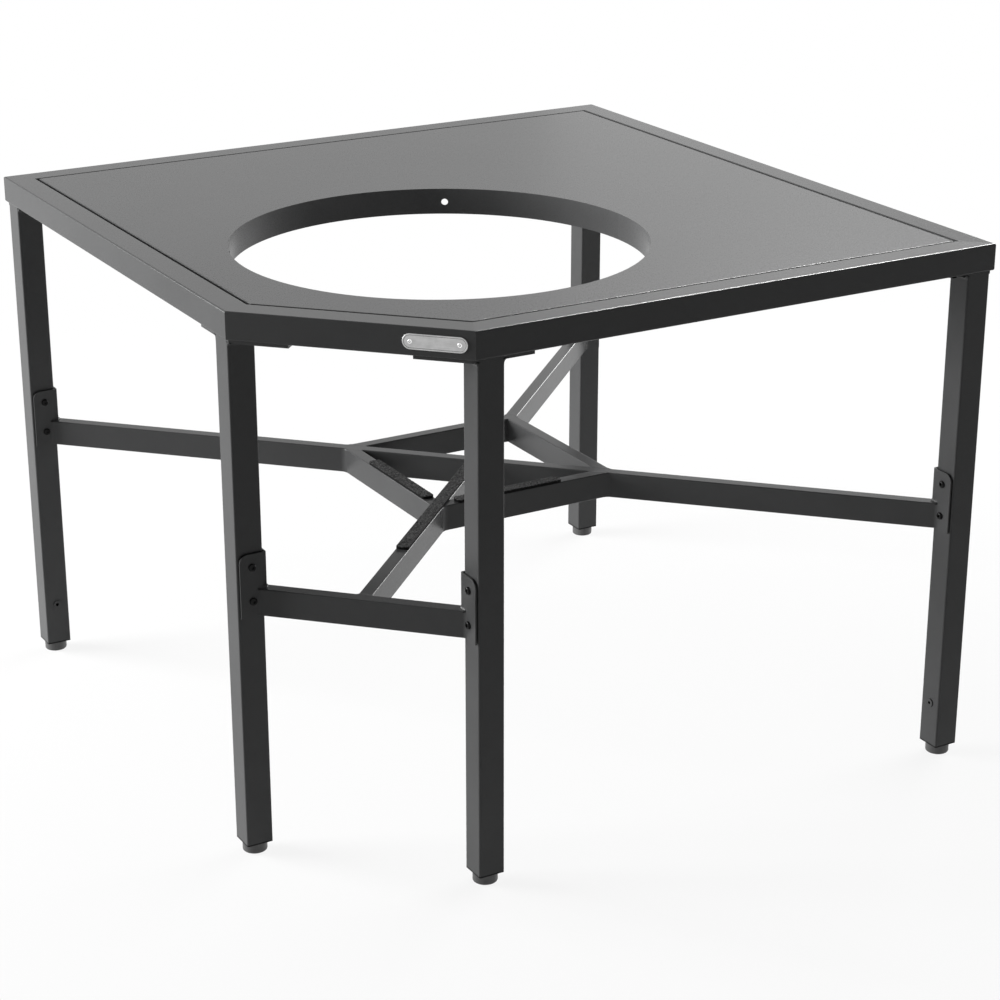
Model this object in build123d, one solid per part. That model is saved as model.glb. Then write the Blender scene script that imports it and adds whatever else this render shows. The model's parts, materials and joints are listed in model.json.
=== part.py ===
from build123d import *
import os
from math import atan2, degrees, hypot, sqrt

# Corner table frame for a round grill. Millimetres, +Z up, X to the right, Y to the back.
# The origin is on the floor, in the middle of the outer square, and the cut corner is front left.

# Overall sizes
side = 1046.0
corner_cut = 230.0
height = 775.0

# Square tube of the rim and legs
tube = 38.0
tube_wall = 2.0
tube_round = 2.5

# Top panel, its ledges and the grill hole
panel_gap_side = 4.0
panel_gap_front = 1.5
panel_gap_cut = 2.0
panel_sheet = 2.5
panel_lip = 22.0
panel_edge_round = 1.2
ledge_width = 22.0
ledge_thick = 3.0
hole_radius = 290.0
hole_margin = 67.4
collar_wall = 3.0
collar_depth = 38.0
collar_hole_radius = 5.0
collar_hole_first = 60.0
collar_hole_count = 4

# Legs, and the flange plates on their tops
leg_inset = 4.0
leg_step = 5.0
plate_thick = 5.0
plate_reach = 30.0
plate_arm = 86.0
plate_arm_cut = 80.0
plate_overhang = 6.0
plate_bolt_in = 18.0
plate_bolt_out = 47.0
plate_bolt_side = 22.0
plate_arm_edge = 14.0
plate_cut_edge = 18.0
bolt_radius = 3.0
bolt_clearance = 0.4
bolt_head_flats = 10.0
bolt_head_high = 4.0
bolt_length = 16.0
nut_high = 5.0
nut_size = 12.0
thread_gap = 0.05

# Bolted cross frame
brace_bottom = 354.0
brace_wide = 19.0
brace_tall = 38.0
brace_wall = 1.6
brace_round = 1.6
square_half = 150.0

# Brackets, screws and threaded inserts
bracket_thick = 2.0
bracket_flange = 35.0
bracket_tall = 88.5
bracket_round = 11.0
insert_flange = 1.6
insert_flange_radius = 6.4
insert_radius = 4.4
insert_length = 13.0
insert_bore = 2.55
insert_wall_gap = 0.05
screw_low = 22.0
screw_spacing = 48.0
screw_from_corner = 17.5
screw_head_radius = 5.25
screw_head_high = 3.3
screw_length = 16.0
socket_flats = 4.0
socket_deep = 2.0
spare_insert_high = 82.0

# Pads under the grill
pad_thick = 4.5
pad_round = 0.8
pad_setback = 5.5
pad_length = 172.0
pad_front_setback = 10.5
pad_front_length = 354.0

# Feet
foot_gap = 0.5
foot_high = 15.0
foot_radius = 17.0
foot_round = 2.5
foot_top_round = 1.0
stud_radius = 5.0
stud_gap = 0.05
stud_floor = 4.0
stud_length = 56.0
stud_chamfer = 1.0
plug_high = 22.0
plug_rim = 2.0
plug_round = 1.5

# Name plate, left blank
badge_long = 84.0
badge_high = 20.5
badge_thick = 1.0
badge_from_corner = 52.0
rivet_spacing = 64.0
rivet_radius = 1.6
rivet_head_radius = 3.0
rivet_head_high = 1.0
rivet_length = 6.0

# Sizes that follow from those above
half = side / 2
root2 = sqrt(2.0)
rail_low = height - tube
leg_top = rail_low - plate_thick
leg_low = foot_high + foot_gap + plug_rim
brace_top = brace_bottom + brace_tall
brace_mid = brace_bottom + brace_tall / 2
bracket_off = insert_flange + bracket_thick
ledge_top = height - panel_lip
inner_leg = half - leg_inset - tube
bar_slant = brace_wide / root2
# The hole keeps its margin to the panel's edge at the cut corner.
panel_reach = (side - corner_cut) / root2 - tube - panel_gap_cut
hole_offset = (panel_reach - hole_margin - hole_radius) / root2
hole_centre = (-hole_offset, -hole_offset)
# Side pads start just past the front arm, and the front pad just before the cross tube.
pad_low = -square_half + bar_slant + brace_wide + pad_setback
pad_high = pad_low + pad_length
pad_front_near = brace_wide / 2 + pad_front_setback
pad_front_far = pad_front_near + pad_front_length

LEGS = {
    "left": (-half + leg_inset, inner_leg),
    "back": (inner_leg, inner_leg),
    "right": (inner_leg, -half + leg_inset),
    "front_right": (-half + corner_cut + leg_step, -half + leg_inset),
    "front_left": (-half + leg_inset, -half + corner_cut + leg_step),
}
# The turn that points a leg's wrapped corner into the table.
TURN = {"left": -90, "back": 180, "right": 90, "front_right": 90, "front_left": -90}
RAILS = ("rail_corner", "rail_front", "rail_right", "rail_back", "rail_left")


def outline(inset):
    """Corners of the rim's outline moved inwards: front left, front right, right, back, left."""
    low, high = -half + inset, half - inset
    near = -half + corner_cut + inset * (root2 - 1)
    return [(low, near), (near, low), (high, low), (high, high), (low, high)]


def panel_outline(inset):
    """Corners of the panel moved inwards, in the same order. Its gaps at the sides, front, back and cut differ."""
    wide = half - tube - panel_gap_side - inset
    deep = half - tube - panel_gap_front - inset
    slant = corner_cut - side + (tube + panel_gap_cut + inset) * root2
    return [(-wide, slant + wide), (slant + deep, -deep), (wide, -deep), (wide, deep), (-wide, deep)]


def slab(points, low, high):
    """A prism on a plan outline, between two heights."""
    return Pos(0, 0, low) * extrude(make_face(Polyline(*points, close=True)), high - low)


def tube_along_x(length, wide, tall, wall, corner):
    """A rounded rectangular tube along X, centred on the origin."""
    shape = RectangleRounded(wide, tall, corner)
    shape -= RectangleRounded(wide - 2 * wall, tall - 2 * wall, max(corner - wall, 0.4))
    return extrude(Plane.YZ * shape, length / 2, both=True)


def brace_tube(start, end):
    """A tube of the cross frame between two plan points."""
    length = hypot(end[0] - start[0], end[1] - start[1])
    angle = degrees(atan2(end[1] - start[1], end[0] - start[0]))
    body = tube_along_x(length, brace_wide, brace_tall, brace_wall, brace_round)
    return Pos((start[0] + end[0]) / 2, (start[1] + end[1]) / 2, brace_mid) * Rot(0, 0, angle) * body


def swapped(points):
    """Plan points mirrored in the table's diagonal."""
    return [(y, x) for x, y in points]


def hexagon(flats):
    return RegularPolygon(flats / 2, 6, major_radius=False)


def wrapped_corner(name):
    """The frame of a leg's wrapped corner: the leg fills its negative quarter."""
    x, y = LEGS[name]
    if TURN[name] == -90:
        x += tube
    if TURN[name] == 90:
        y += tube
    return Pos(x, y, 0) * Rot(0, 0, TURN[name])


def corner_point(name):
    """Plan place of a bracket's outer corner."""
    place = (wrapped_corner(name) * Pos(bracket_off, bracket_off, 0)).position
    return place.X, place.Y


def notch(name):
    """The quarter that a leg and its bracket take from a tube's end."""
    size = 2 * tube
    shift = bracket_off - size / 2
    return wrapped_corner(name) * Pos(shift, shift, brace_mid) * Box(size, size, 2 * brace_tall)


def bolt_places(name):
    """Plan places of the two bolts through a leg's flange plate."""
    if name == "front_left":
        return [arm_bolt(), cut_bolt()]
    if name == "front_right":
        return swapped([arm_bolt(), cut_bolt()])
    u, v = plate_bolt_out, plate_bolt_side
    return [((plate_frame(name) * Pos(*p)).position.X, (plate_frame(name) * Pos(*p)).position.Y)
            for p in ((u, v), (v, u))]


def arm_bolt():
    return -half + leg_inset + plate_bolt_in, -half + corner_cut + plate_arm - plate_arm_edge


def cut_bolt():
    x, y = outline(leg_inset)[0]
    along, across = (plate_arm_cut - plate_cut_edge) / root2, plate_bolt_in / root2
    return x + along + across, y - along + across


def plate_frame(name):
    """A square corner's frame: origin at the leg's outer corner, both axes running inwards."""
    x, y = LEGS[name]
    x += 0 if name == "left" else tube
    y += 0 if name == "right" else tube
    return Pos(x, y, 0) * Rot(0, 0, TURN[name])


def insert_frames(name):
    """Frames on the two wrapped faces of a leg, Z pointing out, where bracket screws go."""
    frames = []
    for lift in (0, screw_spacing):
        z = brace_bottom + screw_low + lift
        frames.append(wrapped_corner(name) * Pos(0, -screw_from_corner, z) * Rot(0, 90, 0))
        frames.append(wrapped_corner(name) * Pos(-screw_from_corner, 0, z) * Rot(-90, 0, 0))
    return frames


def spare_frames():
    """Frames of the two empty inserts near the floor, by leg."""
    left, right = LEGS["left"], LEGS["right"]
    return {
        "left": Pos(left[0] + tube / 2, left[1], spare_insert_high) * Rot(90, 0, 0),
        "right": Pos(right[0], right[1] + tube / 2, spare_insert_high) * Rot(0, -90, 0),
    }


def badge_frame():
    """A plane on the cut corner's rail, X along the rail, Z pointing out."""
    x, y = outline(0)[1]
    x -= badge_from_corner / root2
    y += badge_from_corner / root2
    return Plane(origin=(x, y, height - tube / 2), x_dir=(1, -1, 0), z_dir=(-1, -1, 0))


def rail(index):
    outer, inner = outline(0), outline(tube)
    other = (index + 1) % 5
    start = [(a + b) / 2 for a, b in zip(outer[index], inner[index])]
    end = [(a + b) / 2 for a, b in zip(outer[other], inner[other])]
    length = hypot(end[0] - start[0], end[1] - start[1]) + 2 * tube
    angle = degrees(atan2(end[1] - start[1], end[0] - start[0]))
    body = tube_along_x(length, tube, tube, tube_wall, tube_round)
    body = Pos((start[0] + end[0]) / 2, (start[1] + end[1]) / 2, height - tube / 2) * Rot(0, 0, angle) * body
    body &= slab([outer[index], outer[other], inner[other], inner[index]], rail_low - 1, height + 1)
    for name in LEGS:
        for x, y in bolt_places(name):
            body -= Pos(x, y, rail_low) * Cylinder(bolt_radius + bolt_clearance, 3 * tube_wall)
    if RAILS[index] == "rail_corner":
        for x in (-rivet_spacing / 2, rivet_spacing / 2):
            body -= badge_frame() * Pos(x, 0, 0) * Cylinder(rivet_radius + thread_gap, 3 * tube_wall)
    return body


def ledge(index):
    outer, inner = outline(tube), outline(tube + ledge_width)
    other = (index + 1) % 5
    return slab([outer[index], outer[other], inner[other], inner[index]], ledge_top - ledge_thick, ledge_top)


def top_panel():
    body = slab(panel_outline(0), ledge_top, height)
    body = fillet(body.faces().sort_by(Axis.Z)[-1].edges(), panel_edge_round)
    body -= slab(panel_outline(panel_sheet), ledge_top - 1, height - panel_sheet)
    return body - Pos(*hole_centre, height) * Cylinder(hole_radius, 4 * panel_sheet)


def collar():
    tall = collar_depth - panel_sheet
    mid = height - panel_sheet - tall / 2
    body = Cylinder(hole_radius + collar_wall, tall) - Cylinder(hole_radius, 2 * tall)
    for step in range(collar_hole_count):
        angle = collar_hole_first + step * 360.0 / collar_hole_count
        drill = Rot(0, 90, 0) * Cylinder(collar_hole_radius, 6 * collar_wall)
        body -= Rot(0, 0, angle) * Pos(hole_radius, 0, 0) * drill
    return Pos(*hole_centre, mid) * body


def leg(name):
    x, y = LEGS[name]
    body = Rot(0, 90, 0) * tube_along_x(leg_top - leg_low, tube, tube, tube_wall, tube_round)
    body = Pos(x + tube / 2, y + tube / 2, (leg_top + leg_low) / 2) * body
    frames = insert_frames(name)
    if name in spare_frames():
        frames.append(spare_frames()[name])
    for frame in frames:
        body -= frame * Cylinder(insert_radius + insert_wall_gap, 3 * tube_wall)
    return body


def leg_plate(name):
    if name in ("front_left", "front_right"):
        points = cut_plate_outline()
        body = slab(points if name == "front_left" else swapped(points), leg_top, rail_low)
    else:
        far = tube + plate_reach
        points = [(0, 0), (tube, 0), (far, plate_reach), (plate_reach, far), (0, tube)]
        body = plate_frame(name) * slab(points, leg_top, rail_low)
    for x, y in bolt_places(name):
        body -= Pos(x, y, leg_top) * Cylinder(bolt_radius + bolt_clearance, 4 * plate_thick)
    return body


def cut_plate_outline():
    """The bent plate under the cut corner's front left joint."""
    deep = tube + plate_overhang
    end_y = -half + corner_cut + plate_arm
    corner, inner = outline(leg_inset)[0], outline(deep)[0]
    along, across = plate_arm_cut / root2, (deep - leg_inset) / root2
    tip = (corner[0] + along, corner[1] - along)
    tip_in = (tip[0] + across, tip[1] + across)
    return [(corner[0], end_y), corner, tip, tip_in, inner, (inner[0], end_y)]


def plate_bolt(x, y):
    head = extrude(hexagon(bolt_head_flats), bolt_head_high)
    body = Pos(0, 0, -bolt_head_high) * head
    body += Pos(0, 0, bolt_length / 2) * Cylinder(bolt_radius - thread_gap, bolt_length)
    return Pos(x, y, leg_top) * body


def rail_nut(x, y):
    low = rail_low + tube_wall
    body = Pos(0, 0, nut_high / 2) * Box(nut_size, nut_size, nut_high)
    body -= Cylinder(bolt_radius, 4 * nut_high)
    return Pos(x, y, low) * body


def bracket(name):
    gap, off, far = insert_flange, bracket_off, -bracket_flange
    points = [(off, far), (off, off), (far, off), (far, gap), (gap, gap), (gap, far)]
    body = slab(points, brace_bottom, brace_bottom + bracket_tall)
    upright = body.edges().filter_by(Axis.Z).sort_by(lambda e: e.center().X + e.center().Y)
    body = fillet(upright[-1], bracket_thick + 0.4)
    top = brace_bottom + bracket_tall
    ends = [e for e in body.edges() if abs(e.length - bracket_thick) < 0.01 and e.center().Z > top - 0.01]
    body = fillet(ends, bracket_round)
    body = wrapped_corner(name) * body
    for frame in insert_frames(name):
        body -= frame * Pos(0, 0, off / 2) * Cylinder(bolt_radius + bolt_clearance, 4 * off)
    return body


def bracket_screw(frame):
    head = Cylinder(screw_head_radius, screw_head_high)
    head = fillet(head.edges().sort_by(Axis.Z)[-1], screw_head_high * 0.7)
    body = Pos(0, 0, screw_head_high / 2) * head
    body -= Pos(0, 0, screw_head_high - socket_deep) * extrude(hexagon(socket_flats), screw_head_high)
    body += Pos(0, 0, -screw_length / 2) * Cylinder(insert_bore - thread_gap, screw_length)
    return frame * Pos(0, 0, bracket_off) * body


def leg_insert(frame):
    body = Pos(0, 0, insert_flange / 2) * Cylinder(insert_flange_radius, insert_flange)
    body += Pos(0, 0, -insert_length / 2) * Cylinder(insert_radius, insert_length)
    return frame * (body - Cylinder(insert_bore, 4 * insert_length))


def cross_tube():
    reach = brace_wide / 2 / root2
    start, end = corner_point("left"), corner_point("right")
    body = brace_tube((start[0] - reach, start[1] + reach), (end[0] + reach, end[1] - reach))
    return body - notch("left") - notch("right")


def bar_front():
    reach = brace_wide / 2 / root2
    start, end = corner_point("front_left"), corner_point("front_right")
    body = brace_tube((start[0] - reach, start[1] + reach), (end[0] + reach, end[1] - reach))
    return body - notch("front_left") - notch("front_right")


def arm_front():
    x, y = corner_point("front_left")
    far = (x + y) / 2 + brace_wide / 2 / root2
    near = -brace_wide / 2 / root2
    return brace_tube((far, far), (near, near))


def arm_back():
    reach = brace_wide / 2 / root2
    near = square_half - reach
    far = corner_point("back")[0] + reach
    size = 2 * brace_tall
    inside = Pos(square_half - size / 2, square_half - size / 2, brace_mid) * Box(size, size, size)
    return brace_tube((near, near), (far, far)) - inside - notch("back")


def square_bar(points):
    """One bar of the inner square, cut to a plan outline whose first two points are its outer edge."""
    (x0, y0), (x1, y1), (x2, y2), (x3, y3) = points
    if abs(x0 - x1) < 0.001:
        mid = (x0 + x2) / 2
        body = brace_tube((mid, min(y0, y1) - brace_wide), (mid, max(y0, y1) + brace_wide))
    else:
        mid = (y0 + y2) / 2
        body = brace_tube((min(x0, x1) - brace_wide, mid), (max(x0, x1) + brace_wide, mid))
    return body & slab(points, brace_bottom - 1, brace_top + 1)


def near_bar_outline():
    out, wide = square_half, brace_wide
    low, high = -out + bar_slant, out - bar_slant
    return [(-out, low), (-out, high), (-out + wide, high - wide), (-out + wide, low + wide)]


def far_bar_outline():
    out, wide = square_half, brace_wide
    low = -out + bar_slant
    return [(low, out), (out, out), (out - wide, out - wide), (low + wide, out - wide)]


def pad_box(length):
    body = Box(length, brace_wide, pad_thick)
    return fillet(body.faces().sort_by(Axis.Z)[-1].edges(), pad_round)


def side_pad():
    mid = -square_half + brace_wide / 2
    body = Rot(0, 0, 90) * pad_box(pad_high - pad_low)
    return Pos(mid, (pad_high + pad_low) / 2, brace_top + pad_thick / 2) * body


def front_side_pad():
    mid = -square_half + brace_wide / 2
    return Pos((pad_high + pad_low) / 2, mid, brace_top + pad_thick / 2) * pad_box(pad_high - pad_low)


def front_pad():
    middle = -(pad_front_near + pad_front_far) / 2 / root2
    body = Rot(0, 0, 45) * pad_box(pad_front_far - pad_front_near)
    return Pos(middle, middle, brace_top + pad_thick / 2) * body


def leg_middle(name):
    return LEGS[name][0] + tube / 2, LEGS[name][1] + tube / 2


def foot_plug(name):
    """A plug pressed into a leg's end, with a thin rim that covers the end of the tube."""
    inside = tube - 2 * tube_wall
    body = extrude(RectangleRounded(inside, inside, plug_round), plug_high)
    body += Pos(0, 0, -plug_rim) * extrude(RectangleRounded(tube, tube, tube_round), plug_rim)
    return Pos(*leg_middle(name), leg_low) * (body - Cylinder(stud_radius, 4 * plug_high))


def foot_stud(name):
    body = Cylinder(stud_radius - stud_gap, stud_length)
    body = chamfer(body.edges().sort_by(Axis.Z)[-1], stud_chamfer)
    return Pos(*leg_middle(name), stud_floor + stud_length / 2) * body


def foot_pad(name):
    body = Cylinder(foot_radius, foot_high)
    body = fillet(body.edges().sort_by(Axis.Z)[0], foot_round)
    body = fillet(body.edges().sort_by(Axis.Z)[-1], foot_top_round)
    body -= Pos(0, 0, stud_floor) * Cylinder(stud_radius, foot_high)
    return Pos(*leg_middle(name), foot_high / 2) * body


def name_plate():
    body = extrude(SlotOverall(badge_long, badge_high), badge_thick)
    for x in (-rivet_spacing / 2, rivet_spacing / 2):
        body -= Pos(x, 0, 0) * Cylinder(rivet_radius + thread_gap, 4 * badge_thick)
    return badge_frame() * body


def plate_rivet(x):
    head = Cylinder(rivet_head_radius, rivet_head_high)
    head = fillet(head.edges().sort_by(Axis.Z)[-1], rivet_head_high * 0.7)
    body = Pos(0, 0, badge_thick + rivet_head_high / 2) * head
    body += Pos(0, 0, badge_thick - rivet_length / 2) * Cylinder(rivet_radius, rivet_length)
    return badge_frame() * Pos(x, 0, 0) * body


def group(solids):
    return Compound(children=[s.solids()[0] for s in solids])


def build():
    nodes = {}
    for index, name in enumerate(RAILS):
        nodes[name] = rail(index)
        nodes[name.replace("rail", "ledge")] = ledge(index)
    nodes["top_panel"] = top_panel()
    nodes["hole_collar"] = collar()
    for name in LEGS:
        nodes["leg_" + name] = leg(name)
        nodes["leg_plate_" + name] = leg_plate(name)
        nodes["bracket_" + name] = bracket(name)
        nodes["foot_plug_" + name] = foot_plug(name)
        nodes["foot_stud_" + name] = foot_stud(name)
        nodes["foot_pad_" + name] = foot_pad(name)
    bolts = [place for name in LEGS for place in bolt_places(name)]
    screws = [frame for name in LEGS for frame in insert_frames(name)]
    nodes["plate_bolts"] = group([plate_bolt(*place) for place in bolts])
    nodes["rail_nuts"] = group([rail_nut(*place) for place in bolts])
    nodes["bracket_screws"] = group([bracket_screw(frame) for frame in screws])
    nodes["leg_inserts"] = group([leg_insert(f) for f in screws + list(spare_frames().values())])
    nodes["cross_tube"] = cross_tube()
    nodes["bar_front"] = bar_front()
    nodes["arm_front"] = arm_front()
    nodes["arm_back"] = arm_back()
    nodes["square_bar_left"] = square_bar(near_bar_outline())
    nodes["square_bar_front"] = square_bar(swapped(near_bar_outline()))
    nodes["square_bar_back"] = square_bar(far_bar_outline())
    nodes["square_bar_right"] = square_bar(swapped(far_bar_outline()))
    nodes["grill_pad_left"] = side_pad()
    nodes["grill_pad_right"] = front_side_pad()
    nodes["grill_pad_front"] = front_pad()
    nodes["name_plate"] = name_plate()
    nodes["plate_rivets"] = group([plate_rivet(x) for x in (-rivet_spacing / 2, rivet_spacing / 2)])
    return nodes


os.makedirs("parts", exist_ok=True)
for node, shape in build().items():
    export_step(shape, os.path.join("parts", node + ".step"))
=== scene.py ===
import json
import math

import bmesh
import bpy
from mathutils import Matrix, Vector, noise


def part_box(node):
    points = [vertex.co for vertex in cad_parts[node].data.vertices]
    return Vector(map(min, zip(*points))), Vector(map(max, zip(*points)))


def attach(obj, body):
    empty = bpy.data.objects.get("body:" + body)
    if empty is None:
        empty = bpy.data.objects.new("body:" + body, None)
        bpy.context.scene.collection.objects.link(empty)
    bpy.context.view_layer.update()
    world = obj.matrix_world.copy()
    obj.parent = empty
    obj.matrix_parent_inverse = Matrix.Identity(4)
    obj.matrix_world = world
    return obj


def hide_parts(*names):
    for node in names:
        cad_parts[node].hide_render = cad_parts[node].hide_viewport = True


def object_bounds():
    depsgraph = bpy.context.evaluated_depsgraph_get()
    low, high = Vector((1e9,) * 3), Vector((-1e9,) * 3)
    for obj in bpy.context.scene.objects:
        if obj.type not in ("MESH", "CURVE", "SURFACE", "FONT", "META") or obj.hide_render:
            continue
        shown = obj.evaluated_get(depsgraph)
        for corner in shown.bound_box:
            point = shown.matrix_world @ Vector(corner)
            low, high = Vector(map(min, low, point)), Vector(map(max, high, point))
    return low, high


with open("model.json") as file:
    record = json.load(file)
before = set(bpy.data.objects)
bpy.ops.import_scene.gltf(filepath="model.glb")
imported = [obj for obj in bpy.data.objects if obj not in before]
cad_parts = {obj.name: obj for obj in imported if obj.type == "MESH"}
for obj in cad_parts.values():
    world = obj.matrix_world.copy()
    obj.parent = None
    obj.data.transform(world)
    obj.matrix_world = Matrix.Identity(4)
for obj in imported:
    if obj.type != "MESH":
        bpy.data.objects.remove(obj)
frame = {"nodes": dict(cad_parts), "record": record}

cad_low, cad_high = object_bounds()
nodes = frame["nodes"]
scene = bpy.context.scene
UP = Vector((0.0, 0.0, 1.0))
ROOT2 = math.sqrt(2.0)
DIAGONAL = Vector((1.0, 1.0, 0.0)) / ROOT2
ACROSS = Vector((1.0, -1.0, 0.0)) / ROOT2
LEG_NAMES = ("left", "back", "right", "front_right", "front_left")


# Shader tools

def new_material(name):
    """A node material; returns it, its tree, its surface shader and its object coordinates."""
    mat = bpy.data.materials.new(name)
    mat.use_nodes = True
    tree = mat.node_tree
    shader = tree.nodes["Principled BSDF"]
    coords = tree.nodes.new("ShaderNodeTexCoord").outputs["Object"]
    return mat, tree, shader, coords


def noise_node(tree, coords, scale, detail=2.0, roughness=0.5, distortion=0.0):
    """A noise value over the coordinates; scale is in cells to their unit."""
    node = tree.nodes.new("ShaderNodeTexNoise")
    node.inputs["Scale"].default_value = scale
    node.inputs["Detail"].default_value = detail
    node.inputs["Roughness"].default_value = roughness
    node.inputs["Distortion"].default_value = distortion
    tree.links.new(coords, node.inputs["Vector"])
    return node.outputs["Fac"]


def ramp(tree, value, stops, cool=0.0):
    """A ramp of greys on a value; stops are (position, level), and cool shifts them towards blue."""
    node = tree.nodes.new("ShaderNodeValToRGB")
    while len(node.color_ramp.elements) < len(stops):
        node.color_ramp.elements.new(0.5)
    for element, (position, level) in zip(node.color_ramp.elements, stops):
        element.position = position
        element.color = (level * (1 - cool), level, level * (1 + cool), 1.0)
    tree.links.new(value, node.inputs["Fac"])
    return node.outputs["Color"]


def greys(tree, value, low, high, start=0.3, end=0.7, cool=0.0):
    """Greys from low to high while a value runs from start to end."""
    return ramp(tree, value, [(start, low), (end, high)], cool)


def spread(tree, value, low, high, start=0.3, end=0.7):
    """Numbers from low to high while a value runs from start to end."""
    node = tree.nodes.new("ShaderNodeMapRange")
    node.inputs["From Min"].default_value = start
    node.inputs["From Max"].default_value = end
    node.inputs["To Min"].default_value = low
    node.inputs["To Max"].default_value = high
    tree.links.new(value, node.inputs["Value"])
    return node.outputs["Result"]


def mixed(tree, first, second, share):
    """Blends two colours by a share that is a socket."""
    node = tree.nodes.new("ShaderNodeMix")
    node.data_type = "RGBA"
    tree.links.new(share, node.inputs["Factor"])
    tree.links.new(first, node.inputs["A"])
    tree.links.new(second, node.inputs["B"])
    return node.outputs["Result"]


def bump(tree, shader, height, strength, distance):
    """Lets a value raise the surface; distance is in metres."""
    node = tree.nodes.new("ShaderNodeBump")
    node.inputs["Strength"].default_value = strength
    node.inputs["Distance"].default_value = distance
    tree.links.new(height, node.inputs["Height"])
    tree.links.new(node.outputs["Normal"], shader.inputs["Normal"])


# Materials

def powder_coat(name, level, rough):
    """Dark satin powder coat: faint mottling, fine pebble and small lighter grains."""
    mat, tree, shader, coords = new_material(name)
    cool, rough_range = 0.01, 0.015
    cloud = noise_node(tree, coords, scale=7.0, detail=4.0, roughness=0.6)
    pebble = noise_node(tree, coords, scale=900.0)
    grain = noise_node(tree, coords, scale=2600.0, detail=0.0)
    base = greys(tree, cloud, level * 0.92, level * 1.08, cool=cool)
    speck = greys(tree, cloud, level * 1.10, level * 1.22, cool=cool)
    colour = mixed(tree, base, speck, spread(tree, grain, -0.5, 0.8))
    tree.links.new(colour, shader.inputs["Base Color"])
    roughness = spread(tree, pebble, rough - rough_range, rough + rough_range)
    tree.links.new(roughness, shader.inputs["Roughness"])
    shader.inputs["Specular IOR Level"].default_value = 0.15
    bump(tree, shader, pebble, strength=0.012, distance=0.0004)
    return mat


def felt():
    """Dark pressed fibre: tufts and lighter strands that wander over them; faces turned away from up, the
    sides, get painted shade in near-black greys.
    """
    mat, tree, shader, coords = new_material("felt")
    strand = noise_node(tree, coords, scale=190.0, detail=3.0, roughness=0.6, distortion=2.2)
    tuft = noise_node(tree, coords, scale=300.0, detail=4.0, roughness=0.7)
    dark = greys(tree, tuft, 0.003, 0.032, start=0.36, end=0.62)
    light = greys(tree, tuft, 0.06, 0.19, start=0.35, end=0.65)
    line = ramp(tree, strand, [(0.42, 0.0), (0.50, 0.9), (0.58, 0.0)])
    # Painted shade: the pad's sides and underside take near-black greys, blended in by how far each face
    # turns from up.
    side = greys(tree, tuft, 0.001, 0.008, start=0.36, end=0.62)
    normal = tree.nodes.new("ShaderNodeSeparateXYZ")
    geometry = tree.nodes.new("ShaderNodeNewGeometry")
    tree.links.new(geometry.outputs["True Normal"], normal.inputs[0])
    upward = spread(tree, normal.outputs["Z"], 0.0, 1.0)
    colour = mixed(tree, side, mixed(tree, dark, light, line), upward)
    tree.links.new(colour, shader.inputs["Base Color"])
    tree.links.new(spread(tree, tuft, 0.85, 1.0), shader.inputs["Roughness"])
    shader.inputs["Specular IOR Level"].default_value = 0.1
    bump(tree, shader, tuft, strength=1.0, distance=0.0012)
    return mat


def moulded(name, level, rough, shine=0.5):
    """Matt moulded plastic with a fine spark texture."""
    mat, tree, shader, coords = new_material(name)
    rough_range = 0.08
    spark = noise_node(tree, coords, scale=1800.0)
    cloud = noise_node(tree, coords, scale=60.0, detail=3.0)
    colour = greys(tree, cloud, level * 0.88, level * 1.12)
    tree.links.new(colour, shader.inputs["Base Color"])
    roughness = spread(tree, spark, rough - rough_range, rough + rough_range)
    tree.links.new(roughness, shader.inputs["Roughness"])
    shader.inputs["Specular IOR Level"].default_value = shine
    bump(tree, shader, spark, strength=0.2, distance=0.0003)
    return mat


def plain_metal(name, level, rough, metallic, shine=0.5):
    """Plated or blackened metal with slight clouding."""
    mat, tree, shader, coords = new_material(name)
    smoother, rougher = 0.07, 0.09
    cloud = noise_node(tree, coords, scale=220.0, detail=4.0, roughness=0.6)
    fine = noise_node(tree, coords, scale=2400.0)
    colour = greys(tree, cloud, level * 0.82, level * 1.15)
    tree.links.new(colour, shader.inputs["Base Color"])
    tree.links.new(spread(tree, fine, rough - smoother, rough + rougher), shader.inputs["Roughness"])
    shader.inputs["Metallic"].default_value = metallic
    shader.inputs["Specular IOR Level"].default_value = shine
    bump(tree, shader, fine, strength=0.1, distance=0.0002)
    return mat


def brushed_aluminium():
    """Aluminium brushed along the cut corner's rail."""
    mat, tree, shader, coords = new_material("brushed_aluminium")
    turn = tree.nodes.new("ShaderNodeMapping")
    turn.inputs["Rotation"].default_value = (0.0, 0.0, math.radians(45))
    turn.inputs["Scale"].default_value = (60.0, 60.0, 4200.0)
    tree.links.new(coords, turn.inputs["Vector"])
    streak = noise_node(tree, turn.outputs["Vector"], scale=1.0, detail=4.0, roughness=0.6)
    cloud = noise_node(tree, coords, scale=90.0, detail=3.0)
    bright = greys(tree, streak, 0.40, 0.58, start=0.25, end=0.75)
    dull = greys(tree, streak, 0.33, 0.46, start=0.25, end=0.75)
    colour = mixed(tree, bright, dull, spread(tree, cloud, 0.0, 1.0))
    tree.links.new(colour, shader.inputs["Base Color"])
    tree.links.new(spread(tree, streak, 0.30, 0.46), shader.inputs["Roughness"])
    shader.inputs["Metallic"].default_value = 0.85
    bump(tree, shader, streak, strength=0.15, distance=0.0002)
    return mat


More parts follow.
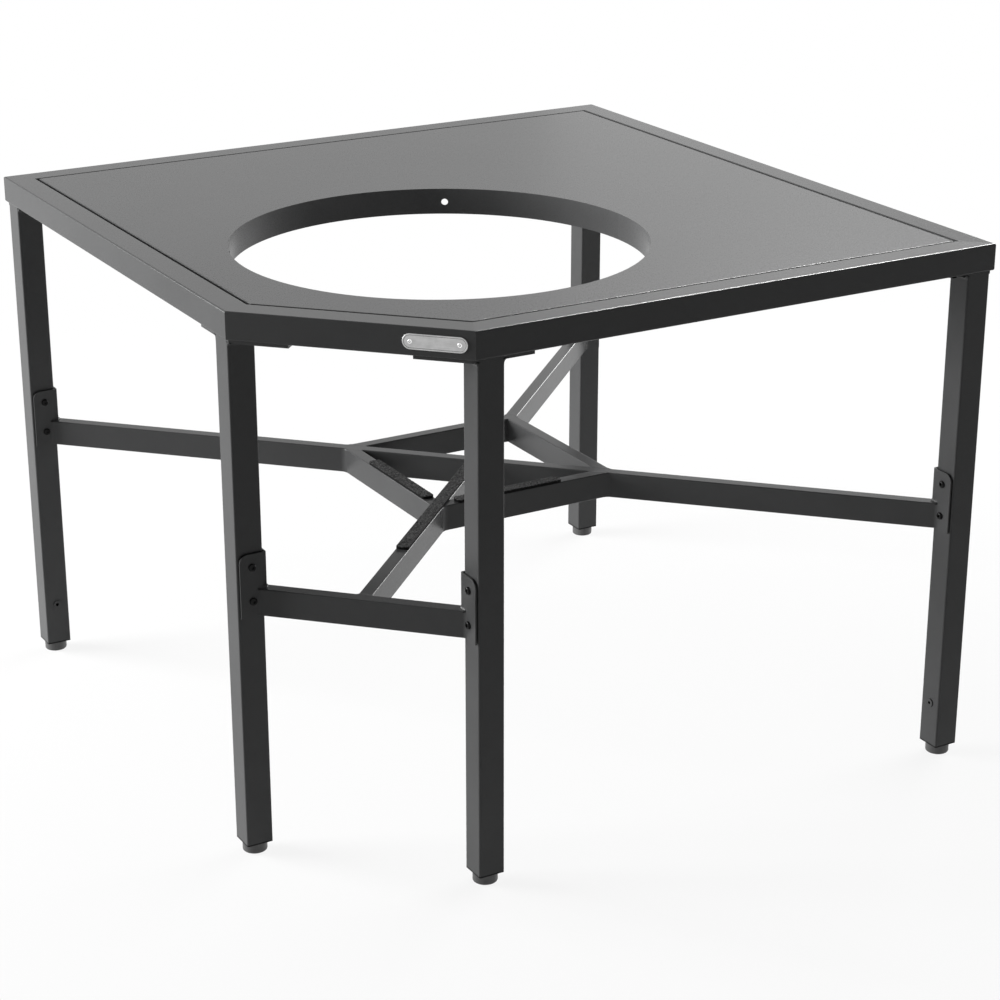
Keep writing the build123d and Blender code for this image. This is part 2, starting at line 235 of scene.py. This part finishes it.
FINISH = {
    "frame_coat": powder_coat("frame_powder_coat", level=0.056, rough=0.25),
    "panel": powder_coat("panel_powder_coat", level=0.060, rough=0.28),
    "pad": felt(),
    "foot": moulded("foot_plastic", level=0.06, rough=0.55),
    "plug": moulded("plug_plastic", level=0.006, rough=0.6, shine=0.1),
    "zinc": plain_metal("zinc_plate", level=0.42, rough=0.38, metallic=1.0),
    "screw": plain_metal("black_oxide", level=0.006, rough=0.22, metallic=0.0, shine=0.12),
    "badge": brushed_aluminium(),
}
OWN_FINISH = {"plate_rivets": plain_metal("bright_rivet", level=0.86, rough=0.24, metallic=1.0)}
SLOT_OF = {row["node"]: row["material_slot"] for row in frame["record"]["subparts"]}
for node_name, node_object in nodes.items():
    for slot in node_object.material_slots:
        slot.material = OWN_FINISH.get(node_name, FINISH[SLOT_OF[node_name]])


# Mesh tools

SHARP_ANGLE = math.radians(40)


def piece(name, bm, finish, body):
    """Turns a bmesh into a piece of the object that rides on a body."""
    bmesh.ops.recalc_face_normals(bm, faces=bm.faces)
    mesh = bpy.data.meshes.new(name)
    bm.to_mesh(mesh)
    bm.free()
    for face in mesh.polygons:
        face.use_smooth = True
    mesh.set_sharp_from_angle(angle=SHARP_ANGLE)
    mesh.materials.append(FINISH[finish])
    obj = bpy.data.objects.new(name, mesh)
    scene.collection.objects.link(obj)
    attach(obj, body)
    return obj


def bridge(bm, rings, closed_rings=True):
    """Faces between neighbouring rings of vertices."""
    count = len(rings[0])
    last = count if closed_rings else count - 1
    for low, high in zip(rings, rings[1:]):
        for i in range(last):
            j = (i + 1) % count
            bm.faces.new((low[i], low[j], high[j], high[i]))


def closed_strip(bm, rings):
    """Faces between rings, with a cap on the first and the last."""
    bridge(bm, rings)
    bm.faces.new(rings[0][::-1])
    bm.faces.new(rings[-1])


def round_over(distance, radius):
    """How far a rounded edge falls away at a distance from it."""
    left = max(0.0, radius - distance)
    return radius - math.sqrt(radius ** 2 - left ** 2)


# Welds

BRACE_LOW, BRACE_HIGH = (corner.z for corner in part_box("cross_tube"))
BAR_LOW, BAR_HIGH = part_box("square_bar_left")
BRACE_HALF = (BAR_HIGH.x - BAR_LOW.x) / 2
SLANT = BRACE_HALF * ROOT2
SQUARE_HALF = -BAR_LOW.x
EDGE_ROUND = 0.0016
LEG_ROUND = 0.0025
WELD_STEP = 0.0007
FILLET_STEP = 0.0004
FEWEST_STEPS = 8
BRACKET_WELD = 0.0045
TEE_WELD = 0.005
WIDE_WELD = 0.008
TIGHT_WELD = 0.004
PLATE_WELD = 0.007
STITCH_WELD = 0.0035


def straight(start, end, along_a, along_b, step=WELD_STEP):
    """Stations of a weld on a straight corner line, with the two directions that lie in its faces."""
    start, end = Vector(start), Vector(end)
    count = max(FEWEST_STEPS, int((end - start).length / step))
    a, b = Vector(along_a).normalized(), Vector(along_b).normalized()
    return [(start.lerp(end, i / count), a, b) for i in range(count + 1)]


def with_ends(stations):
    """Each station with its distance from the weld's start and from its nearer end."""
    distances = [0.0]
    for (p, _, _), (q, _, _) in zip(stations, stations[1:]):
        distances.append(distances[-1] + (q - p).length)
    return [(*station, s, min(s, distances[-1] - s)) for station, s in zip(stations, distances)]


def add_bead(bm, stations, leg):
    """A fillet weld left as laid: a bulged profile with crescent ripples and rounded ends."""
    profile, pitch, sink = 6, 0.0024, 0.0002
    end_size, lean, bulge, ripple_rise = 0.25, 0.45, 0.10, 0.13
    rings = []
    for point, a, b, s, from_end in with_ends(stations):
        swell = math.sqrt(max(0.0, 1 - (1 - min(from_end / leg, 1.0)) ** 2))
        grow = end_size + (1 - end_size) * swell
        out = (a + b).normalized()
        ring = [bm.verts.new(point - out * sink)]
        for k in range(profile + 1):
            t = k / profile
            crest = math.sin(math.pi * t)
            ripple = 0.5 + 0.5 * math.cos(2 * math.pi * (s / pitch + lean * crest))
            reach = a * (1 - t) + b * t + out * crest * (bulge + ripple_rise * ripple)
            ring.append(bm.verts.new(point + reach * leg * grow - out * sink * (1 - crest)))
        rings.append(ring)
    closed_strip(bm, rings)


def add_fillet(bm, start, end, along_a, along_b, leg, ease=EDGE_ROUND):
    """A dressed weld: a hollow curve that runs out on both faces, its ends eased like the tubes' edges."""
    profile, sink, back = 12, 0.00004, 0.0006
    waver, waver_scale = 0.06, 160.0
    stations = straight(start, end, along_a, along_b, FILLET_STEP)
    rings = []
    for point, a, b, _, from_end in with_ends(stations):
        draw = round_over(from_end, ease)
        out = (a + b).normalized()
        reach = leg * (1 + waver * noise.noise(point * waver_scale))
        ring = [bm.verts.new(point - out * (back + draw))]
        for k in range(profile + 1):
            t = k / profile
            curve = (a * (1 - t) ** 2 + b * t ** 2) * reach
            ring.append(bm.verts.new(point + curve - out * (sink + draw)))
        rings.append(ring)
    closed_strip(bm, rings)


def add_flush(bm, start, end):
    """A weld ground down to the tubes' top faces: a low crown over the joint line."""
    profile, half, proud, deep, sink, tip = 8, 0.0024, 0.00018, 0.0012, 0.00004, 0.0002
    across = UP.cross(Vector(end) - Vector(start))
    rings = []
    for point, side, _, _, from_end in with_ends(straight(start, end, across, UP)):
        grow = math.sqrt(min(1.0, (from_end + tip) / half))
        ring = [bm.verts.new(point - UP * deep)]
        for k in range(profile + 1):
            t = 2 * k / profile - 1
            crown = proud * grow * (1 - t * t) ** 2 - sink
            ring.append(bm.verts.new(point + side * half * grow * t + UP * crown))
        rings.append(ring)
    closed_strip(bm, rings)


def mirrored(vector):
    """A vector mirrored in the table's diagonal plane."""
    return Vector((vector[1], vector[0], vector[2]))


def upright(bm, x, y, along_a, along_b, leg):
    """An upright fillet over the height of the brace tubes."""
    add_fillet(bm, (x, y, BRACE_LOW), (x, y, BRACE_HIGH), along_a, along_b, leg)


def bracket_welds(bm, x, y, toward):
    """Fillets where a tube meets a bracket's corner: one up each side, two over the top.

    The corner is at x, y, and toward runs along the tube.
    """
    side_x = math.copysign(1.0, toward.x)
    side_y = math.copysign(1.0, toward.y)
    near_y, near_x = y - side_y * SLANT, x - side_x * SLANT
    upright(bm, x, near_y, (0, -side_y, 0), toward, BRACKET_WELD)
    upright(bm, near_x, y, (-side_x, 0, 0), toward, BRACKET_WELD)
    for start_x, start_y, out in ((x, near_y, (side_x, 0, 0)), (near_x, y, (0, side_y, 0))):
        add_fillet(bm, (start_x, start_y, BRACE_HIGH), (x, y, BRACE_HIGH), UP, out, BRACKET_WELD)


def tee_welds(bm, middle, toward):
    """Welds where a tube's square end meets another's flat side. middle is the joint, toward leaves it."""
    side = Vector((-toward.y, toward.x, 0.0))
    for sign in (1.0, -1.0):
        foot = middle + side * sign * BRACE_HALF
        upright(bm, foot.x, foot.y, side * sign, toward, TEE_WELD)
    top = Vector((middle.x, middle.y, BRACE_HIGH))
    add_flush(bm, top - side * BRACE_HALF, top + side * BRACE_HALF)


def square_welds(bm, turn):
    """Welds of the inner square on one side of the table's diagonal; turn mirrors them to the other side."""
    inner = SQUARE_HALF - 2 * BRACE_HALF
    corner = SQUARE_HALF - SLANT
    across = turn(ACROSS)
    spots = (
        ((-SQUARE_HALF, corner), (0, -1, 0), -across, WIDE_WELD),
        ((-inner, inner - SLANT), (0, -1, 0), across, TIGHT_WELD),
        ((-SQUARE_HALF, -corner), (0, 1, 0), -DIAGONAL, WIDE_WELD),
        ((-inner, -inner + SLANT), (0, 1, 0), DIAGONAL, TIGHT_WELD),
        ((-corner, SQUARE_HALF), (1, 0, 0), -across, WIDE_WELD),
        ((-inner + SLANT, inner), (1, 0, 0), across, TIGHT_WELD),
        ((SQUARE_HALF, corner), (0, -1, 0), DIAGONAL, WIDE_WELD),
    )
    for (x, y), along_bar, along_tube, leg in spots:
        place = turn((x, y, 0.0))
        upright(bm, place.x, place.y, turn(along_bar), along_tube, leg)
    joints = (
        ((-SQUARE_HALF, corner), (-inner, inner - SLANT)),
        ((-SQUARE_HALF, -corner), (-inner, -inner + SLANT)),
        ((-corner, SQUARE_HALF), (-inner + SLANT, inner)),
        ((SQUARE_HALF, corner), (SQUARE_HALF, SQUARE_HALF)),
    )
    for (x0, y0), (x1, y1) in joints:
        add_flush(bm, turn((x0, y0, BRACE_HIGH)), turn((x1, y1, BRACE_HIGH)))


def brace_welds():
    """All welds of the cross frame: at the brackets, the front arm's ends and the inner square."""
    bm = bmesh.new()
    for leg, toward in (("left", ACROSS), ("right", -ACROSS), ("back", -DIAGONAL),
                        ("front_left", ACROSS), ("front_right", -ACROSS)):
        low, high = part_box("bracket_" + leg)
        x = high.x if toward.x > 0 else low.x
        y = high.y if toward.y > 0 else low.y
        bracket_welds(bm, x, y, toward)
    bar_low, bar_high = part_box("bar_front")
    front = (bar_low.x + bar_high.x) / 2 + BRACE_HALF / ROOT2
    tee_welds(bm, Vector((front, front, 0.0)), DIAGONAL)
    tee_welds(bm, -DIAGONAL * BRACE_HALF, -DIAGONAL)
    for turn in (Vector, mirrored):
        square_welds(bm, turn)
    piece("brace_welds", bm, "frame_coat", "frame")


def leg_welds():
    """Dressed fillets under the flange plates, on the leg faces that the plate runs past."""
    bm = bmesh.new()
    faces = {
        "left": ((1, 0), (0, -1)), "back": ((-1, 0), (0, -1)), "right": ((-1, 0), (0, 1)),
        "front_right": ((1, 0), (-1, 0)), "front_left": ((0, 1), (0, -1)),
    }
    for leg, sides in faces.items():
        low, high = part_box("leg_" + leg)
        middle, half = (low + high) / 2, (high.x - low.x) / 2
        for x, y in sides:
            out = Vector((x, y, 0.0))
            run = Vector((-y, x, 0.0)) * half
            foot = Vector((middle.x, middle.y, high.z)) + out * half
            add_fillet(bm, foot - run, foot + run, -UP, out, PLATE_WELD, LEG_ROUND)
    piece("leg_welds", bm, "frame_coat", "frame")


def rim_welds():
    """Short stitches that hold the ledges to the rails, under the panel."""
    stitches, half_length, end_margin = 6, 0.014, 0.08
    ledges = {"left": (1, 0), "right": (-1, 0), "front": (0, 1), "back": (0, -1)}
    bm = bmesh.new()
    for name, (x, y) in ledges.items():
        low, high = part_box("ledge_" + name)
        size = high - low
        out, along = Vector((x, y, 0.0)), Vector((abs(y), abs(x), 0.0))
        edge = (low + high) / 2 - out * abs(size.dot(out)) / 2
        run = size.dot(along) - 2 * end_margin
        for i in range(stitches):
            spot = edge + along * run * (i / (stitches - 1) - 0.5)
            spot.z = low.z
            start, end = spot - along * half_length, spot + along * half_length
            add_bead(bm, straight(start, end, -UP, out), STITCH_WELD)
    piece("rim_welds", bm, "frame_coat", "frame")


def collar_welds():
    """Stitches between the collar's outside and the panel's underside."""
    stitches, steps, first_degrees, sweep_degrees = 12, 40, 11, 5.2
    bm = bmesh.new()
    low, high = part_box("hole_collar")
    middle, radius = (low + high) / 2, (high.x - low.x) / 2
    centre = Vector((middle.x, middle.y, high.z))
    for i in range(stitches):
        stations = []
        for k in range(steps + 1):
            angle = math.radians(i * 360 / stitches + first_degrees + sweep_degrees * k / steps)
            out = Vector((math.cos(angle), math.sin(angle), 0.0))
            stations.append((centre + out * radius, out, -UP))
        add_bead(bm, stations, STITCH_WELD)
    piece("collar_welds", bm, "panel", "top_panel")


brace_welds()
leg_welds()
rim_welds()
collar_welds()


# Felt pads

PAD_STEP = 0.0009
PAD_COLUMNS = 24
PAD_END_ROUND = 0.0045
PAD_EDGE_ROUND = 0.0011


def fray(x, share):
    """How far a pad's ragged side is drawn in at x; share runs from -1 to 1 across the pad."""
    deepest, scale, row_apart = 0.0007, 350.0, 7.0
    ragged = noise.noise(Vector((x * scale, math.copysign(row_apart, share), 0.0)))
    return math.copysign(deepest, share) * share ** 4 * (0.5 + 0.5 * ragged)


def tuft_depth(spot):
    """How far a pad's top lies below its highest tufts."""
    deepest, contrast = 0.0011, 1.6
    coarse_scale, fine_scale, coarse_share = 320.0, 800.0, 0.65
    coarse, fine = noise.noise(spot * coarse_scale), noise.noise(spot * fine_scale)
    wave = coarse * coarse_share + fine * (1 - coarse_share)
    return deepest * (0.5 + 0.5 * max(-1.0, min(1.0, wave * contrast)))


def grid_edge(grid):
    """The vertices round the edge of a grid, in order."""
    right = [row[-1] for row in grid[1:-1]]
    left = [row[0] for row in grid[-2:0:-1]]
    return grid[0] + right + grid[-1][::-1] + left


def felt_pad(node):
    """A pressed fibre strip with rounded ends and edges and an uneven top, in its solid's place."""
    low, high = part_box(node)
    size, middle = high - low, (low + high) / 2
    wide, tolerance = 2 * BRACE_HALF, 0.001
    on_diagonal = abs(size.x - size.y) < tolerance
    if on_diagonal:
        length, angle = size.x * ROOT2 - wide, math.radians(45)
    else:
        length, angle = max(size.x, size.y), math.radians(90 if size.y > size.x else 0)
    rows = int(length / PAD_STEP)
    bm = bmesh.new()
    top, bottom = [], []
    for i in range(rows + 1):
        u = length * i / rows
        from_end = min(u, length - u)
        half = wide / 2 - round_over(from_end, PAD_END_ROUND)
        upper, lower = [], []
        for j in range(PAD_COLUMNS + 1):
            share = 2 * j / PAD_COLUMNS - 1
            spot = Vector((u - length / 2, half * share, 0.0))
            spot.y -= fray(spot.x, share)
            from_edge = min(half * (1 - abs(share)), from_end)
            drop = max(round_over(from_edge, PAD_EDGE_ROUND), tuft_depth(spot))
            upper.append(bm.verts.new((spot.x, spot.y, size.z - drop)))
            lower.append(bm.verts.new((spot.x, spot.y, 0.0)))
        top.append(upper)
        bottom.append(lower)
    bridge(bm, top, closed_rings=False)
    bridge(bm, bottom, closed_rings=False)
    bridge(bm, [grid_edge(bottom), grid_edge(top)])
    place = Matrix.Translation((middle.x, middle.y, low.z)) @ Matrix.Rotation(angle, 4, "Z")
    bmesh.ops.transform(bm, matrix=place, verts=bm.verts)
    obj = piece(node.replace("grill_pad", "felt_pad"), bm, "pad", "frame")
    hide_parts(node)


for pad_name in ("grill_pad_left", "grill_pad_right", "grill_pad_front"):
    felt_pad(pad_name)


# Threaded studs

def threaded_stud(leg):
    """A levelling foot's stud with its thread cut in."""
    low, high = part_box("foot_stud_" + leg)
    crest, tall = (high.x - low.x) / 2, high.z - low.z
    pitch, deep, flank, chamfer = 0.0015, 0.0008, 2.6, 0.0012
    around, step = 28, 0.00025
    rows = int(tall / step)
    bm = bmesh.new()
    rings = []
    for i in range(rows + 1):
        z = low.z + tall * i / rows
        ease = max(0.0, chamfer - min(high.z - z, z - low.z))
        ring = []
        for k in range(around):
            angle = 2 * math.pi * k / around
            phase = (z / pitch - k / around) % 1.0
            radius = crest - deep * max(0.0, 1 - abs(phase - 0.5) * flank) - ease
            ring.append(bm.verts.new((radius * math.cos(angle), radius * math.sin(angle), z)))
        rings.append(ring)
    closed_strip(bm, rings)
    middle = (low + high) / 2
    bmesh.ops.translate(bm, verts=bm.verts, vec=(middle.x, middle.y, 0.0))
    obj = piece("threaded_stud_" + leg, bm, "zinc", "stud_" + leg)
    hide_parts("foot_stud_" + leg)


for leg_name in LEG_NAMES:
    threaded_stud(leg_name)


# Name plate, left blank

PLATE_THICK = 0.001
RIVET_OUT = 0.032
SLOT_POINTS = 96
PIN_POINTS = 24
RIM_PROFILE = ((0.0001, -0.0001), (0.0001, 0.0001), (0.0004, 0.00032), (0.0009, 0.00038),
               (0.0014, 0.0003), (0.0018, 0.00008), (0.0018, -0.0001))
LINE_PROFILE = ((0.0018, -0.00005), (0.0018, 0.00003), (0.00225, 0.00003), (0.00225, -0.00005))
PIN_PROFILE = ((0.0014, 0.0009), (0.0014, 0.00103), (0.0012, 0.00112), (0.0009, 0.00108),
               (0.0007, 0.00098))


def plate_place():
    """The plate's own frame, X along the rail, Y up, Z out of its face; and half its height and length."""
    low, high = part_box("name_plate")
    out = -DIAGONAL
    face = (low + high) / 2 + out * PLATE_THICK / 2
    turn = Matrix((ACROSS, UP, out)).transposed().to_4x4()
    half_long = ((high.x - low.x) * ROOT2 - PLATE_THICK) / 2
    return Matrix.Translation(face) @ turn, (high.z - low.z) / 2, half_long


def circle(radius, count):
    """Points round a circle."""
    angles = [2 * math.pi * i / count for i in range(count)]
    return [(math.cos(angle) * radius, math.sin(angle) * radius) for angle in angles]


def slot_outline(half_long, half_high):
    """Points round a slot with round ends."""
    straight_half = half_long - half_high
    return [(x + math.copysign(straight_half, x), y) for x, y in circle(half_high, SLOT_POINTS)]


def plate_band(name, profile, finish):
    """A band round the blank plate; its profile is (inset from the edge, height over the face)."""
    place, half_high, half_long = plate_place()
    bm = bmesh.new()
    rings = []
    for inset, height in profile:
        points = slot_outline(half_long - inset, half_high - inset)
        rings.append([bm.verts.new((x, y, height)) for x, y in points])
    bridge(bm, rings + rings[:1])
    bmesh.ops.transform(bm, matrix=place, verts=bm.verts)
    piece(name, bm, finish, "frame")


def rivet_centres():
    """The dark sunk ends of the rivets' pins; their profile is (radius, height over the face)."""
    place, _, _ = plate_place()
    bm = bmesh.new()
    for middle in (-RIVET_OUT, RIVET_OUT):
        rings = []
        for radius, height in PIN_PROFILE:
            rings.append([bm.verts.new((middle + x, y, height)) for x, y in circle(radius, PIN_POINTS)])
        closed_strip(bm, rings)
    bmesh.ops.transform(bm, matrix=place, verts=bm.verts)
    piece("rivet_centres", bm, "screw", "frame")


plate_band("plate_rim", RIM_PROFILE, "badge")
plate_band("plate_line", LINE_PROFILE, "screw")
rivet_centres()


# Floor, light and camera

WHITE = (1.0, 1.0, 1.0, 1.0)
PALE = (0.9, 0.9, 0.9, 1.0)


def from_middle(tree):
    """Distance on the floor from the table's middle."""
    node = tree.nodes.new("ShaderNodeVectorMath")
    node.operation = "LENGTH"
    tree.links.new(tree.nodes.new("ShaderNodeTexCoord").outputs["Object"], node.inputs[0])
    return node.outputs["Value"]


def background_rays(tree):
    """1 for camera, glossy and transmission rays, 0 for the others."""
    path = tree.nodes.new("ShaderNodeLightPath")
    value = path.outputs["Is Camera Ray"]
    for name in ("Is Glossy Ray", "Is Transmission Ray"):
        most = tree.nodes.new("ShaderNodeMath")
        most.operation = "MAXIMUM"
        tree.links.new(value, most.inputs[0])
        tree.links.new(path.outputs[name], most.inputs[1])
        value = most.outputs[0]
    return value


def mixed_shader(tree, share, first, second):
    """Blends two shaders by a share that is a socket."""
    node = tree.nodes.new("ShaderNodeMixShader")
    tree.links.new(share, node.inputs["Fac"])
    tree.links.new(first.outputs[0], node.inputs[1])
    tree.links.new(second.outputs[0], node.inputs[2])
    return node


def floor_material():
    """Matt for bounced light, clear for shadow rays; in view clear, and a little pale near the table."""
    mat = bpy.data.materials.new("studio_floor")
    mat.use_nodes = True
    tree = mat.node_tree
    tree.nodes.remove(tree.nodes["Principled BSDF"])
    matt = tree.nodes.new("ShaderNodeBsdfDiffuse")
    bounce = spread(tree, from_middle(tree), 0.9, 0.4, start=0.8, end=1.6)
    tree.links.new(bounce, matt.inputs["Color"])
    pale = tree.nodes.new("ShaderNodeBsdfDiffuse")
    pale.inputs["Color"].default_value = PALE
    clear = tree.nodes.new("ShaderNodeBsdfTransparent")
    clear_share = spread(tree, from_middle(tree), 0.86, 1.0, start=0.7, end=2.4)
    in_view = mixed_shader(tree, clear_share, pale, clear)
    seen = mixed_shader(tree, background_rays(tree), matt, in_view)
    shadow_ray = tree.nodes.new("ShaderNodeLightPath").outputs["Is Shadow Ray"]
    surface = mixed_shader(tree, shadow_ray, seen, clear)
    tree.links.new(surface.outputs[0], tree.nodes["Material Output"].inputs["Surface"])
    return mat


def studio_floor():
    """A wide floor. The white round it and a foot screwed down past it show through; the shadow stays."""
    half, drop = 40.0, 0.0005
    corners = [(-half, -half, 0), (half, -half, 0), (half, half, 0), (-half, half, 0)]
    mesh = bpy.data.meshes.new("studio_floor")
    mesh.from_pydata(corners, [], [(0, 1, 2, 3)])
    mesh.materials.append(floor_material())
    obj = bpy.data.objects.new("studio_floor", mesh)
    obj.location.z = -drop
    scene.collection.objects.link(obj)


def studio_world():
    """White round the table; its share of the light is lower."""
    world = bpy.data.worlds.new("studio")
    scene.world = world
    world.use_nodes = True
    tree = world.node_tree
    back = tree.nodes["Background"]
    back.inputs["Color"].default_value = WHITE
    strength = spread(tree, background_rays(tree), 0.06, 1.0, start=0.0, end=1.0)
    tree.links.new(strength, back.inputs["Strength"])


def soft_box(name, place, aim, wide, high, watts):
    """A rectangular lamp, unseen by the camera."""
    light = bpy.data.lights.new(name, "AREA")
    light.shape = "RECTANGLE"
    light.size, light.size_y = wide, high
    light.energy = watts
    obj = bpy.data.objects.new(name, light)
    obj.location = place
    obj.rotation_euler = (Vector(aim) - Vector(place)).to_track_quat("-Z", "Y").to_euler()
    obj.visible_camera = False
    scene.collection.objects.link(obj)
    return obj


def edge_strip():
    """A strip that only shows as gloss, on the front rail's and the panel's edges."""
    strip = soft_box("edge_strip", place=(2.3, 0.7, 3.2), aim=(0.4, -0.5, cad_high[2]),
                     wide=2.4, high=0.7, watts=480.0)
    strip.visible_diffuse = False
    glossy = bpy.data.collections.new("edge_strip_lights")
    for name in ("rail_front", "top_panel"):
        glossy.objects.link(nodes[name])
    strip.light_linking.receiver_collection = glossy


def studio_camera():
    """The photograph's viewpoint: from the front left, a little above the top."""
    eye = Vector((-1.7103, -3.0457, 1.6685))
    azimuth, elevation, lens, sensor = math.radians(-29.906), math.radians(21.033), 89.6, 36.0
    level = math.cos(elevation)
    out = Vector((math.sin(azimuth) * level, -math.cos(azimuth) * level, math.sin(elevation)))
    data = bpy.data.cameras.new("camera")
    data.lens, data.sensor_width = lens, sensor
    obj = bpy.data.objects.new("camera", data)
    obj.location = eye
    obj.rotation_euler = (-out).to_track_quat("-Z", "Y").to_euler()
    scene.collection.objects.link(obj)
    scene.camera = obj


studio_floor()
studio_world()
soft_box("key_left", place=(-3.6, 2.5, 1.5), aim=(0, 0, 0.5), wide=2.6, high=2.0, watts=405.0)
soft_box("key_right", place=(4.2, 0.9, 1.2), aim=(0, 0, 0.4), wide=3.6, high=2.2, watts=280.0)
soft_box("fill_right", place=(3.4, 3.0, 1.2), aim=(0, 0, 0.6), wide=2.6, high=1.8, watts=6.0)
soft_box("fill_back", place=(1.6, 3.2, 2.6), aim=(0, 0, 0.6), wide=3.0, high=1.6, watts=5.0)
edge_strip()
studio_camera()
scene.view_settings.view_transform = "Standard"
